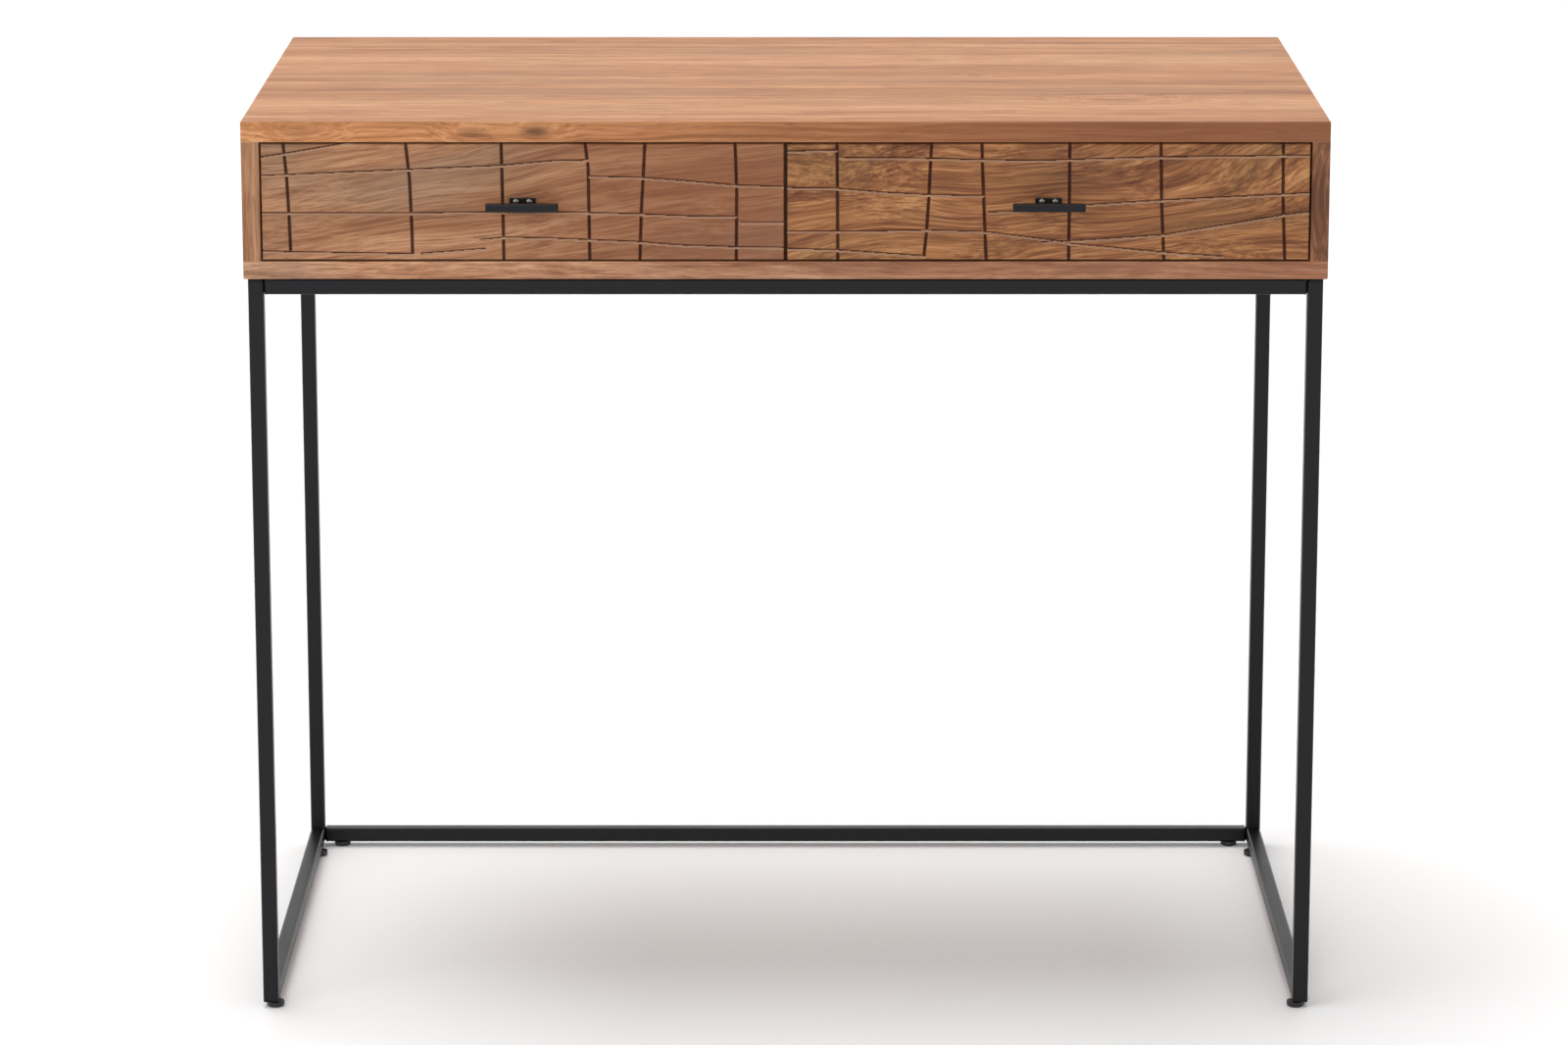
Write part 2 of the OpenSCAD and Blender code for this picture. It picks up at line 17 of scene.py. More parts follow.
import bmesh
import bpy
import numpy as np
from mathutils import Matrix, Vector


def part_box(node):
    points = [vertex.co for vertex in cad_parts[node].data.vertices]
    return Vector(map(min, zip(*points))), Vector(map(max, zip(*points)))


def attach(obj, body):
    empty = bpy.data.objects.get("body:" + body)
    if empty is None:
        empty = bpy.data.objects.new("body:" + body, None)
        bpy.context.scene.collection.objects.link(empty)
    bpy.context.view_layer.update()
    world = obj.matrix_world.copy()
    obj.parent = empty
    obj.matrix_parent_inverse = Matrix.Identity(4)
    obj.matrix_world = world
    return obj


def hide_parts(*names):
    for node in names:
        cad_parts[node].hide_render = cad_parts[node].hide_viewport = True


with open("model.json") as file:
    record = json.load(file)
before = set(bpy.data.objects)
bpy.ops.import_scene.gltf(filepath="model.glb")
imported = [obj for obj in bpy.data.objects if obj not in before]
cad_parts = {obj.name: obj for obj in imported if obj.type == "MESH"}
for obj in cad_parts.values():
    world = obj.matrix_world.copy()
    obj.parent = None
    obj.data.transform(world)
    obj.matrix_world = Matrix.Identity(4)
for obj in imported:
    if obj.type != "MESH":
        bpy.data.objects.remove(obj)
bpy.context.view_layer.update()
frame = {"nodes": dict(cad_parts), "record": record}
CASE, LEFT, RIGHT = "case_and_frame", "left_drawer", "right_drawer"

# %% [markdown]
# ## Small helpers
#
# Colours are written as the hex values a designer would read off a paint card. Blender works with
# linear light, so one function converts them. Another adds a shader node: it sets the node's
# properties, then fills each input with either a fixed value or a link from another node.

# %% Units, colours and nodes
MM = 0.001


def hex_colour(code):
    """An sRGB hex code as linear red, green, blue and alpha."""
    channels = [int(code[i : i + 2], 16) / 255 for i in (1, 3, 5)]
    linear = [c / 12.92 if c <= 0.04045 else ((c + 0.055) / 1.055) ** 2.4 for c in channels]
    return (*linear, 1.0)


def add(tree, kind, inputs=None, **settings):
    """A new node. Inputs are fixed values, or sockets to link from."""
    node = tree.nodes.new(kind)
    for name, value in settings.items():
        setattr(node, name, value)
    for name, value in (inputs or {}).items():
        if isinstance(value, bpy.types.NodeSocket):
            tree.links.new(value, node.inputs[name])
        else:
            node.inputs[name].default_value = value
    return node


print("acacia mid tone, linear:", [round(c, 3) for c in hex_colour("#A9784F")[:3]])

# %% [markdown]
# Every material here ends the same way, with a Principled surface that goes to the output. So one
# function makes an empty material, and another closes it when its pattern is ready.

# %% Opening and closing a material
def new_material(name):
    """An empty material, and the tree to build in."""
    material = bpy.data.materials.new(name)
    material.use_nodes = True
    tree = material.node_tree
    tree.nodes.clear()
    return material, tree


def surface(tree, inputs):
    """Ends a tree with a Principled surface."""
    shader = add(tree, "ShaderNodeBsdfPrincipled", inputs)
    add(tree, "ShaderNodeOutputMaterial", {"Surface": shader.outputs["BSDF"]})


print("materials so far:", len(bpy.data.materials))

# %% [markdown]
# ## Acacia
#
# Solid acacia, planed, sanded and oiled. Wood is a solid pattern: growth rings round the pith of a
# log, sliced by the faces of a board. So the colour comes from a position inside an imaginary log
# and every face of a board agrees with its neighbours, end grain too.
#
# Each board is glued up from staves, and each stave gets a random log of its own: its number gives
# a random colour, which moves it far along the log. Grain roams where the tree leaned, so the place
# is then pushed about by a slow noise.

# %% A place in the log
AXES = {"X": "XYZ", "Y": "YZX", "Z": "ZYX", "front": "XZY"}
# How far apart staves may lie in the tree, and how much of a stave its joints are off the middle
STAVE_JUMP, JOINT_SHIFT = (3.0, 0.3, 0.2), 0.37
# Length and width of the slow noise, and how far it pushes
LEAN_LONG, LEAN_WIDE, LEAN = 200 * MM, 90 * MM, 12 * MM


def place_in_log(tree, grain, stave, seed, turn, wave):
    """The place on the board with X along the grain, the place in the log, and a random value for
    the stave."""
    here = add(tree, "ShaderNodeTexCoord").outputs["Object"]
    parts = add(tree, "ShaderNodeSeparateXYZ", {"Vector": here}).outputs
    order = {i: parts[axis] for i, axis in enumerate(AXES[grain])}
    board = add(tree, "ShaderNodeCombineXYZ", order).outputs["Vector"]
    across = add(tree, "ShaderNodeSeparateXYZ", {"Vector": board}).outputs["Y"]
    count = add(tree, "ShaderNodeMath", {0: across, 1: 1 / stave, 2: seed + JOINT_SHIFT},
                operation="MULTIPLY_ADD").outputs["Value"]
    index = add(tree, "ShaderNodeMath", {0: count}, operation="FLOOR").outputs["Value"]
    chance = add(tree, "ShaderNodeTexWhiteNoise", {"W": index}, noise_dimensions="1D").outputs
    point = add(tree, "ShaderNodeVectorRotate", {"Vector": board, "Angle": math.radians(turn)},
                rotation_type="Z_AXIS").outputs["Vector"]
    jump = add(tree, "ShaderNodeVectorMath", {0: chance["Color"], 1: STAVE_JUMP, 2: point},
               operation="MULTIPLY_ADD").outputs["Vector"]
    size = (1 / LEAN_LONG, 1 / LEAN_WIDE, 1 / LEAN_WIDE)
    slow = add(tree, "ShaderNodeVectorMath", {0: jump, 1: size}, operation="MULTIPLY")
    roam = add(tree, "ShaderNodeTexNoise", {"Vector": slow.outputs["Vector"], "Scale": 1.0,
                                            "Detail": 1.0}).outputs["Color"]
    push = (0.0, LEAN + wave, LEAN + wave)
    point = add(tree, "ShaderNodeVectorMath", {0: roam, 1: push, 2: jump},
                operation="MULTIPLY_ADD").outputs["Vector"]
    return board, point, chance["Value"]


print("grain can run along:", ", ".join(AXES))

# %% [markdown]
# A knot is where a branch left the trunk. The grain parts and flows round it, so near a knot the
# place in the log is lifted sideways, and the knot itself is stained dark afterwards.

# %% Grain that flows round knots
# All in radii of the knot: its length, where the grain bends, how far, and where it is dark
KNOT_LENGTH, KNOT_FAR, KNOT_NEAR, KNOT_LIFT = 2.5, 3.0, 0.2, 1.1
KNOT_EDGE, KNOT_CORE = 1.3, 0.1


def flow_round_knots(tree, board, point, knots):
    """Knots are (along, across, deep, radius, darkness), the first four in metres. Gives the moved
    place, and for each knot the distance to it in radii."""
    reaches = []
    for *middle, radius, _ in knots:
        oval = (1 / (KNOT_LENGTH * radius), 1 / radius, 1 / radius)
        away = add(tree, "ShaderNodeVectorMath", {0: board, 1: middle}, operation="SUBTRACT")
        away = add(tree, "ShaderNodeVectorMath", {0: away.outputs["Vector"], 1: oval},
                   operation="MULTIPLY")
        reach = add(tree, "ShaderNodeVectorMath", {0: away.outputs["Vector"]}, operation="LENGTH")
        reaches.append(reach.outputs["Value"])
        near = add(tree, "ShaderNodeMapRange", {"Value": reaches[-1], "From Min": KNOT_FAR,
                   "From Max": KNOT_NEAR}, interpolation_type="SMOOTHSTEP").outputs["Result"]
        rise = (0.0, KNOT_LIFT * radius, KNOT_LIFT * radius)
        lift = add(tree, "ShaderNodeVectorMath", {0: rise, "Scale": near}, operation="SCALE")
        point = add(tree, "ShaderNodeVectorMath", {0: point, 1: lift.outputs["Vector"]},
                    operation="ADD").outputs["Vector"]
    return point, reaches


print("a knot bends the grain up to", KNOT_FAR, "radii away")

# %% [markdown]
# Painted shade darkens the faces that look to the front towards one end of a board. It stands for
# the light from the left that falls off to the right. Other faces keep their colour.

# %% Painted shade towards one end
FRONT = (0.0, -1.0, 0.0)


def painted_front_shade(tree, board, start, end):
    """Painted shade from 0 to 1 between two places along the grain, on front faces."""
    along = add(tree, "ShaderNodeSeparateXYZ", {"Vector": board}).outputs["X"]
    part = add(tree, "ShaderNodeMapRange", {"Value": along, "From Min": start, "From Max": end})
    normal = add(tree, "ShaderNodeNewGeometry").outputs["Normal"]
    turned = add(tree, "ShaderNodeVectorMath", {0: normal, 1: FRONT},
                 operation="DOT_PRODUCT").outputs["Value"]
    facing = add(tree, "ShaderNodeMapRange", {"Value": turned, "From Min": 0.3, "From Max": 0.8},
                 interpolation_type="SMOOTHSTEP").outputs["Result"]
    return add(tree, "ShaderNodeMath", {0: part.outputs["Result"], 1: facing},
               operation="MULTIPLY").outputs["Value"]


print("front faces look along:", FRONT)

# %% [markdown]
# The distance from the pith drives an irregular run of bands, which the faces cut into straight
# lines or long arches. On top come the details that make it acacia: pinkish and greyish haze, dark
# heartwood streaks, fine fibres, dark dashes and short open pores. All are noise stretched along
# the grain, and their real sizes in millimetres set the scale. Fibres are finer than 1 mm, and are
# drawn 2 mm apart so that they show.

# %% The figure of acacia
# Length and width of each detail in mm, then the detail and roughness of its noise
FIGURE = {
    "band": (770, 24, 2.0, 0.5), "line": (200, 3.3, 3.0, 0.7), "fibre": (62, 1.8, 2.0, 0.6),
    "pore": (18, 1.0, 1.0, 0.5), "haze": (220, 67, 2.0, 0.5), "heart": (420, 12, 2.0, 0.6),
    "dash": (77, 4.3, 1.0, 0.5),
}


def figure_of(tree, point):
    """The value of every detail at a place in the log."""
    figure = {}
    for label, (long, wide, detail, rough) in FIGURE.items():
        size = (1 / (long * MM), 1 / (wide * MM), 1 / (wide * MM))
        at = add(tree, "ShaderNodeVectorMath", {0: point, 1: size}, operation="MULTIPLY")
        figure[label] = add(tree, "ShaderNodeTexNoise", {"Vector": at.outputs["Vector"],
                            "Scale": 1.0, "Detail": detail, "Roughness": rough}).outputs["Fac"]
    return figure


print("details, finest first:", sorted(FIGURE, key=lambda label: FIGURE[label][1]))

# %% [markdown]
# A band and a line pattern together pick a tone from pale to dark. Each stave is also a little
# paler or darker as a whole.

# %% Tones of the rings
TONE_STOPS = (0.32, 0.5, 0.65, 0.83)
LINE_SHARE, RING_SPREAD, STAVE_SPREAD = 0.58, 1.7, 0.14


def ring_colour(tree, figure, chance, tones, contrast):
    rings = add(tree, "ShaderNodeMix", {"Factor": LINE_SHARE, "A": figure["band"],
                                        "B": figure["line"]})
    spread = RING_SPREAD * contrast
    tone = add(tree, "ShaderNodeMath", {0: rings.outputs["Result"], 1: spread,
               2: 0.5 - 0.5 * spread}, operation="MULTIPLY_ADD").outputs["Value"]
    tone = add(tree, "ShaderNodeMath", {0: chance, 1: STAVE_SPREAD * contrast, 2: tone},
               operation="MULTIPLY_ADD").outputs["Value"]
    ramp = add(tree, "ShaderNodeValToRGB", {"Fac": tone})
    stops = ramp.color_ramp.elements
    while len(stops) < len(tones):
        stops.new(0.5)
    for stop, at, code in zip(stops, TONE_STOPS, tones):
        stop.position, stop.color = at, hex_colour(code)
    return ramp.outputs["Color"]


print("tones change at:", TONE_STOPS)

# %% [markdown]
# The other details are laid over it like thin coats of colour, each only where its own value is
# high. A carved front gets two more: painted shade in its cuts and a painted highlight on the
# lower lips beside them. Their values are stored on the mesh.

# %% Coats over the rings
# The last two colours are painted light: shade in the cuts and a highlight on their lower lips.
DASH, PORE, KNOT, CUT_SHADE_PAINT, LIP_HIGHLIGHT_PAINT = "#5A3624", "#5E3A26", "#4A2A1D", "#38190F", "#D2A88A"


def detail_coats(figure, darkest, contrast, cloud, clouds, streaks):
    """Coats are a value, where it starts to show, where it is full, how strong, and a colour."""
    return [(figure["haze"], 0.46, 0.68, clouds, cloud),
            (figure["heart"], 0.58, 0.74, streaks, darkest),
            (figure["fibre"], 0.42, 0.72, 0.55, darkest),
            (figure["dash"], 0.7, 0.8, 0.6, DASH),
            (figure["pore"], 0.6, 0.74, 0.5 * min(contrast, 1.0), PORE)]


# Painted shade in the cuts and a painted highlight on their lower lips, read from the mesh.
def carving_coats(tree):
    values = [add(tree, "ShaderNodeAttribute", attribute_name=label).outputs["Fac"]
              for label in ("painted_cut_shade", "painted_lip_highlight")]
    return [(values[0], 0.0, 0.6, 0.92, CUT_SHADE_PAINT), (values[1], 0.0, 1.0, 0.6, LIP_HIGHLIGHT_PAINT)]


def lay_coats(tree, colour, coats):
    for value, start, full, strength, code in coats:
        mask = add(tree, "ShaderNodeMapRange", {"Value": value, "From Min": start,
                   "From Max": full, "To Max": strength}, interpolation_type="SMOOTHSTEP")
        coat = {"Factor": mask.outputs["Result"], "A": colour, "B": hex_colour(code)}
        colour = add(tree, "ShaderNodeMix", coat, data_type="RGBA").outputs["Result"]
    return colour


print("coat colours:", DASH, PORE, KNOT, CUT_SHADE_PAINT, LIP_HIGHLIGHT_PAINT)

# %% [markdown]
# Oil soaks in and leaves the pores open and dull, so fibres and pores are also a shallow bump.
# Wood has an IOR of 1.5. An oiled, open surface gives back less light than varnish does, which a
# specular level of 0.25 stands for: it keeps the browns deep under a bright sky.

# %% The acacia material
FIBRE_DEPTH, PORE_DEPTH, BUMP_DEPTH = -0.4, -0.8, 0.15 * MM


def acacia(name, grain, tones, stave, seed, turn=0.0, wave=0.0, contrast=1.0, cloud="#8E8276",
           clouds=0.35, streaks=0.4, knots=(), shade=(), carved=False):
    """Grain runs along X, Y or Z, or along a drawer front. Tones go from pale to dark, stave is in
    metres, turn tilts the grain in degrees and wave makes it roam, in metres. Shade is painted
    shade on front faces: (along at the pale end, at the dark end, colour, strength)."""
    material, tree = new_material(name)
    board, point, chance = place_in_log(tree, grain, stave, seed, turn, wave)
    point, reaches = flow_round_knots(tree, board, point, knots)
    figure = figure_of(tree, point)
    coats = detail_coats(figure, tones[-1], contrast, cloud, clouds, streaks)
    # Painted shade on the faces that look to the front
    if shade:
        start, end, code, strength = shade
        coats.append((painted_front_shade(tree, board, start, end), 0.0, 1.0, strength, code))
    coats += [(reach, KNOT_EDGE, KNOT_CORE, knot[-1], KNOT)
              for reach, knot in zip(reaches, knots)]
    coats += carving_coats(tree) if carved else []
    colour = lay_coats(tree, ring_colour(tree, figure, chance, tones, contrast), coats)

    height = add(tree, "ShaderNodeMath", {0: figure["fibre"], 1: FIBRE_DEPTH, 2: 0.5},
                 operation="MULTIPLY_ADD").outputs["Value"]
    height = add(tree, "ShaderNodeMath", {0: figure["pore"], 1: PORE_DEPTH, 2: height},
                 operation="MULTIPLY_ADD").outputs["Value"]
    bump = add(tree, "ShaderNodeBump", {"Height": height, "Strength": 0.4,
                                        "Distance": BUMP_DEPTH})
    dull = add(tree, "ShaderNodeMapRange", {"Value": figure["fibre"], "From Min": 0.2,
                                            "From Max": 0.8, "To Min": 0.42, "To Max": 0.6})
    surface(tree, {"Base Color": colour, "Roughness": dull.outputs["Result"], "IOR": 1.5,
                   "Specular IOR Level": 0.25, "Normal": bump.outputs["Normal"]})
    print(name, "shader nodes:", len(tree.nodes))
    return material


# %% [markdown]
# No two boards of one desk match. The top is the warmest. Painted shade darkens its front edge
# to the right, where it also has a few small knots. The left side is pale and the right side, in
# its own shade, is deeper. The left front is rosy and quiet, and the right front golden with a
# livelier figure.

# %% Boards of the case
EDGE_TONES = ("#C0926F", "#AE7E5A", "#976748", "#704830")
top_wood = acacia(
    "oiled_acacia_top", "X", ("#D69F70", "#CA8E5F", "#B87B4C", "#935E38"), 82 * MM, 3,
    contrast=1.15, cloud="#AE8462", shade=(-0.45, 0.42, "#75432A", 0.85),
    knots=((-0.206, -0.24, 0.757, 0.006, 0.75), (-0.258, -0.24, 0.755, 0.006, 0.45),
           (-0.4, -0.24, 0.757, 0.007, 0.25), (0.165, 0.02, 0.765, 0.004, 0.6),
           (-0.09, 0.085, 0.765, 0.003, 0.6), (0.28, -0.12, 0.765, 0.012, 0.2)))
# The bottom board's front edge gets the same painted shade to the right.
bottom_wood = acacia(
    "oiled_acacia_bottom", "X", ("#D2A482", "#C0906D", "#A87656", "#7C523A"), 90 * MM, 8,
    turn=-4, streaks=0.5, shade=(-0.35, 0.42, "#85533A", 0.55))
left_wood = acacia("oiled_acacia_left_side", "Z", EDGE_TONES, 85 * MM, 5, contrast=0.8,
                   streaks=0.3, cloud="#9A7E68")
right_wood = acacia(
    "oiled_acacia_right_side", "Z", ("#BE8863", "#A46E4C", "#885A3C", "#643E28"), 85 * MM, 5,
    clouds=0.2, cloud="#7A6250", knots=((0.7, -0.236, 0.44, 0.012, 0.6),))
print("boards:", [m.name for m in bpy.data.materials if m.name.startswith("oiled")])

# %% Drawer fronts and drawer boxes
WHOLE_FRONT = 500 * MM
# The left front gets painted shade over its right part.
left_front_wood = acacia(
    "oiled_acacia_left_front", "front", ("#C0916E", "#A97956", "#926040", "#6A422A"), WHOLE_FRONT,
    2, turn=-8, wave=22 * MM, contrast=0.85, cloud="#8A735C", clouds=0.55, carved=True,
    shade=(-0.3, -0.05, "#7A472C", 0.55), knots=((-0.251, 0.6665, -0.24, 0.0015, 0.8),))
right_front_wood = acacia(
    "oiled_acacia_right_front", "front", ("#BC8958", "#A06B41", "#82502E", "#562E1B"),
    WHOLE_FRONT, 6, turn=-7, wave=75 * MM, contrast=1.05, cloud="#806A3E", clouds=0.34,
    streaks=0.5, knots=((0.24, 0.725, -0.24, 0.03, 0.3),), carved=True)
box_wood = acacia("plain_acacia_drawer_back", "X", EDGE_TONES, 78 * MM, 4, contrast=0.8,
                  streaks=0.3)
box_side_wood = acacia("plain_acacia_drawer_side", "Y", EDGE_TONES, 78 * MM, 9, contrast=0.8,
                       streaks=0.3)
print("acacia materials:", len(bpy.data.materials))

# %% [markdown]
# ## Powder-coated steel
#
# The tube, the end plates, the plugs and the pulls are mild steel under a black polyester powder
# coat. Powder flows out as it bakes, but never quite flat: a faint orange peel with bumps about
# 1.5 mm across. The coating is an insulator, so metallic stays 0 with an IOR near 1.5, and the
# satin finish is a middling roughness that spreads a soft grey sheen over faces seen at a low
# angle. The specular level is lower than usual, so that faces seen head-on stay nearly black.

# %% The powder coat
PEEL, GRIT, PATCH = 1.5 * MM, 0.4 * MM, 110 * MM


def powder_coat(name, code):
    material, tree = new_material(name)
    place = add(tree, "ShaderNodeTexCoord").outputs["Object"]
    peel, grit, patch = (
        add(tree, "ShaderNodeTexNoise", {"Vector": place, "Scale": 1 / size, "Detail": detail}
            ).outputs["Fac"] for size, detail in ((PEEL, 2.0), (GRIT, 1.0), (PATCH, 2.0)))
    both = add(tree, "ShaderNodeMix", {"Factor": 0.3, "A": peel, "B": grit})
    bump = add(tree, "ShaderNodeBump", {"Height": both.outputs["Result"], "Strength": 0.25,
                                        "Distance": 0.05 * MM})
    gloss = add(tree, "ShaderNodeMapRange", {"Value": patch, "To Min": 0.3, "To Max": 0.44})
    surface(tree, {"Base Color": hex_colour(code), "Roughness": gloss.outputs["Result"],
                   "IOR": 1.5, "Specular IOR Level": 0.26, "Normal": bump.outputs["Normal"]})
    return material


black_coat = powder_coat("black_powder_coated_steel", "#08090E")
print("coat:", black_coat.name)

# %% [markdown]
# Bolts, runners and screws are steel with a thin finish: black oxide, zinc or nickel. They are
# metal to the eye, so metallic is 1 and the IOR stays at its default. Drawing and rolling leave
# fine lines along Y, about half a millimetre apart.

# %% Plated and blackened steel
LINE_LONG, LINE_WIDE = 33 * MM, 0.6 * MM


def plated_steel(name, code, roughness, scratch):
    material, tree = new_material(name)
    place = add(tree, "ShaderNodeTexCoord").outputs["Object"]
    size = (1 / LINE_WIDE, 1 / LINE_LONG, 1 / LINE_WIDE)
    at = add(tree, "ShaderNodeVectorMath", {0: place, 1: size}, operation="MULTIPLY")
    lines = add(tree, "ShaderNodeTexNoise", {"Vector": at.outputs["Vector"], "Scale": 1.0,
                                             "Detail": 2.0}).outputs["Fac"]
    gloss = add(tree, "ShaderNodeMapRange", {"Value": lines, "To Min": roughness - 0.08,
                                             "To Max": roughness + 0.1})
    bump = add(tree, "ShaderNodeBump", {"Height": lines, "Strength": scratch,
                                        "Distance": 0.02 * MM})
    surface(tree, {"Base Color": hex_colour(code), "Metallic": 1.0,
                   "Roughness": gloss.outputs["Result"], "Normal": bump.outputs["Normal"]})
    return material


zinc = plated_steel("zinc_plated_steel", "#B9BCC0", 0.34, 0.3)
black_oxide = plated_steel("black_oxide_steel", "#3A3B3E", 0.42, 0.2)
nickel = plated_steel("nickel_plated_steel", "#8F8880", 0.28, 0.1)
print("metals:", [m.name for m in (zinc, black_oxide, nickel)])

# %% [markdown]
# ## Plywood and beech
#
# Rotary-cut plywood is one continuous peel of a log, so its figure is broad and lazy. Beech dowels
# carry tiny dark flecks. Both are a figure, fibres that are much finer than it, and specks.

# %% Plywood and beech
FLECK_COLOUR = "#7A5638"
FIBRES_PER_FIGURE = (6.0, 48.0, 48.0)


def fine_wood(name, pale, dark, size, fleck):
    """Two tones, the size of the figure along X, Y and Z in mm, and that of the flecks."""
    material, tree = new_material(name)
    place = add(tree, "ShaderNodeTexCoord").outputs["Object"]
    scale = [1 / (length * MM) for length in size]
    at = add(tree, "ShaderNodeVectorMath", {0: place, 1: scale}, operation="MULTIPLY")
    along = add(tree, "ShaderNodeVectorMath", {0: at.outputs["Vector"], 1: FIBRES_PER_FIGURE},
                operation="MULTIPLY")
    figure, fibre, specks = (
        add(tree, "ShaderNodeTexNoise", {"Vector": where, "Scale": many, "Detail": detail,
            "Distortion": bend}).outputs["Fac"] for where, many, detail, bend in (
            (at.outputs["Vector"], 1.0, 5.0, 0.8), (along.outputs["Vector"], 1.0, 2.0, 0.0),
            (place, 1 / (fleck * MM), 1.0, 0.0)))
    both = add(tree, "ShaderNodeMix", {"Factor": 0.4, "A": figure, "B": fibre})
    colour = hex_colour(pale)
    for value, start, full, most, code in ((both.outputs["Result"], 0.4, 0.6, 1.0, dark),
                                           (specks, 0.6, 0.75, 0.4, FLECK_COLOUR)):
        mask = add(tree, "ShaderNodeMapRange", {"Value": value, "From Min": start,
                                                "From Max": full, "To Max": most})
        coat = {"Factor": mask.outputs["Result"], "A": colour, "B": hex_colour(code)}
        colour = add(tree, "ShaderNodeMix", coat, data_type="RGBA").outputs["Result"]
    bump = add(tree, "ShaderNodeBump", {"Height": fibre, "Strength": 0.3, "Distance": 0.1 * MM})
    surface(tree, {"Base Color": colour, "Roughness": 0.6, "IOR": 1.5,
                   "Normal": bump.outputs["Normal"]})
    return material


plywood = fine_wood("rotary_cut_plywood", "#CDA97E", "#A47B53", (450, 110, 110), 1.1)
beech = fine_wood("beech", "#D8B48C", "#C49A70", (17, 17, 83), 0.7)
print("fine woods:", plywood.name, beech.name)

# %% [markdown]
# ## Moulded plastic
#
# The floor glides are moulded polyethylene: black, slightly waxy, with an IOR of 1.51 and without
# any pattern but the fine texture of the mould.

# %% Polyethylene
MOULD_TEXTURE = 0.6 * MM


def moulded_plastic(name, code):
    material, tree = new_material(name)
    place = add(tree, "ShaderNodeTexCoord").outputs["Object"]
    spark = add(tree, "ShaderNodeTexNoise", {"Vector": place, "Scale": 1 / MOULD_TEXTURE,
                                             "Detail": 1.0})
    bump = add(tree, "ShaderNodeBump", {"Height": spark.outputs["Fac"], "Strength": 0.15,
                                        "Distance": 0.03 * MM})
    surface(tree, {"Base Color": hex_colour(code), "Roughness": 0.42, "IOR": 1.51,
                   "Normal": bump.outputs["Normal"]})
    return material


polyethylene = moulded_plastic("black_polyethylene", "#111113")
print("all materials:", len(bpy.data.materials))

# %% [markdown]
# ## Making a mesh
#
# Every shape that is made here becomes a piece in the same way: it gets its material, rides on its
# body, takes a material slot, and may stand for CAD nodes.

# %% From a mesh to a piece
def finish_piece(name, mesh, material, body, replaced=()):
    piece = bpy.data.objects.new(name, mesh)
    bpy.context.scene.collection.objects.link(piece)
    mesh.materials.append(material)
    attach(piece, body)
    if replaced:
        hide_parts(*replaced)
    return piece


print("bodies to ride on:", CASE, LEFT, RIGHT)

# %% [markdown]
# A board that is modelled as a sharp box looks like a drawing of a board. The real ones have their
# edges eased with sandpaper, about 1 mm, which is enough to catch a thin line of light. So each
# board that shows is made again as a box with rounded edges, exactly where its CAD node is, and
# takes that node's place. A bevel on a cube of the right size is the simplest way. The edges round
# a glued joint stay sharp, because a joint is sanded flush.

# %% Pieces from rounded boxes
def rounded_box(low, high, ease, glued=()):
    """A box mesh between two corners. Glued faces are "low z" and "high z"."""
    form = bmesh.new()
    bmesh.ops.create_cube(form, size=1)
    size = high - low
    for vertex in form.verts:
        vertex.co = Vector((vertex.co.x * size.x, vertex.co.y * size.y, vertex.co.z * size.z))
        vertex.co += (low + high) / 2
    levels = {"low z": low.z, "high z": high.z}
    sharp = [levels[face] for face in glued]
    soft = [edge for edge in form.edges
            if not any(all(abs(v.co.z - level) < 1e-6 for v in edge.verts) for level in sharp)]
    bmesh.ops.bevel(form, geom=soft, offset=ease, segments=3, profile=0.5, affect="EDGES",
                    clamp_overlap=True)
    mesh = bpy.data.meshes.new("rounded_box")
    form.to_mesh(mesh)
    form.free()
    return mesh


BOTH = ["low z", "high z"]
for node, name, material, glued in (
        ("top_panel", "top_board", top_wood, ["low z"]),
        ("bottom_panel", "bottom_board", bottom_wood, ["high z"]),
        ("left_side_panel", "left_side_board", left_wood, BOTH),
        ("right_side_panel", "right_side_board", right_wood, BOTH),
        ("centre_partition", "partition_board", left_wood, BOTH)):
    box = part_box(node)
    finish_piece(name, rounded_box(*box, 1.0 * MM, glued), material, CASE, [node])
    print(name, "in mm:", [round(length / MM, 1) for length in box[1] - box[0]])

# %% [markdown]
# ## The carved drawer fronts
#
# The carver ran a V-shaped gouge along slightly crooked routes: some upright, some level, none
# quite straight. Light from above leaves the upper wall of a level cut dark and picks out its lower
# wall, so the cuts have to be real shape. Each route is a few points, in fractions of a front's
# width and height from its lower left corner. Past 0 or 1 it runs out over the edge.

# %% Routes of the gouge
LEFT_CUTS = (
    ((0.043, 1.02), (0.049, 0.7), (0.052, 0.4), (0.054, 0.06)),
    ((0.277, 1.02), (0.284, 0.7), (0.287, 0.3), (0.288, 0.045)),
    ((0.46, 1.02), (0.462, 0.5), (0.463, -0.02)),
    ((0.62, 1.02), (0.626, 0.8), (0.628, -0.02)),
    ((0.735, 1.02), (0.731, 0.7), (0.727, 0.4), (0.724, -0.02)),
    ((0.907, 1.02), (0.91, 0.6), (0.909, -0.02)),
    ((-0.01, 0.875), (0.043, 0.91), (0.2, 1.03)),
    ((-0.01, 0.72), (0.045, 0.73), (0.28, 0.775), (0.462, 0.81), (0.52, 0.835), (0.56, 0.85),
     (0.624, 0.857)),
    ((-0.01, 0.4), (0.28, 0.397), (0.43, 0.41), (0.57, 0.41), (0.727, 0.39), (0.82, 0.373),
     (0.907, 0.37)),
    ((-0.01, 0.072), (0.052, 0.063), (0.288, 0.047)),
    ((0.306, 0.05), (0.426, 0.093)),
    ((0.426, 0.173), (0.463, 0.19), (0.55, 0.183), (0.725, 0.15), (0.79, 0.125), (0.91, 0.105),
     (1.01, 0.1)),
    ((0.63, 0.716), (0.73, 0.705), (0.79, 0.685), (0.909, 0.64), (1.01, 0.625)),
    ((0.919, 0.317), (1.01, 0.317)),
)
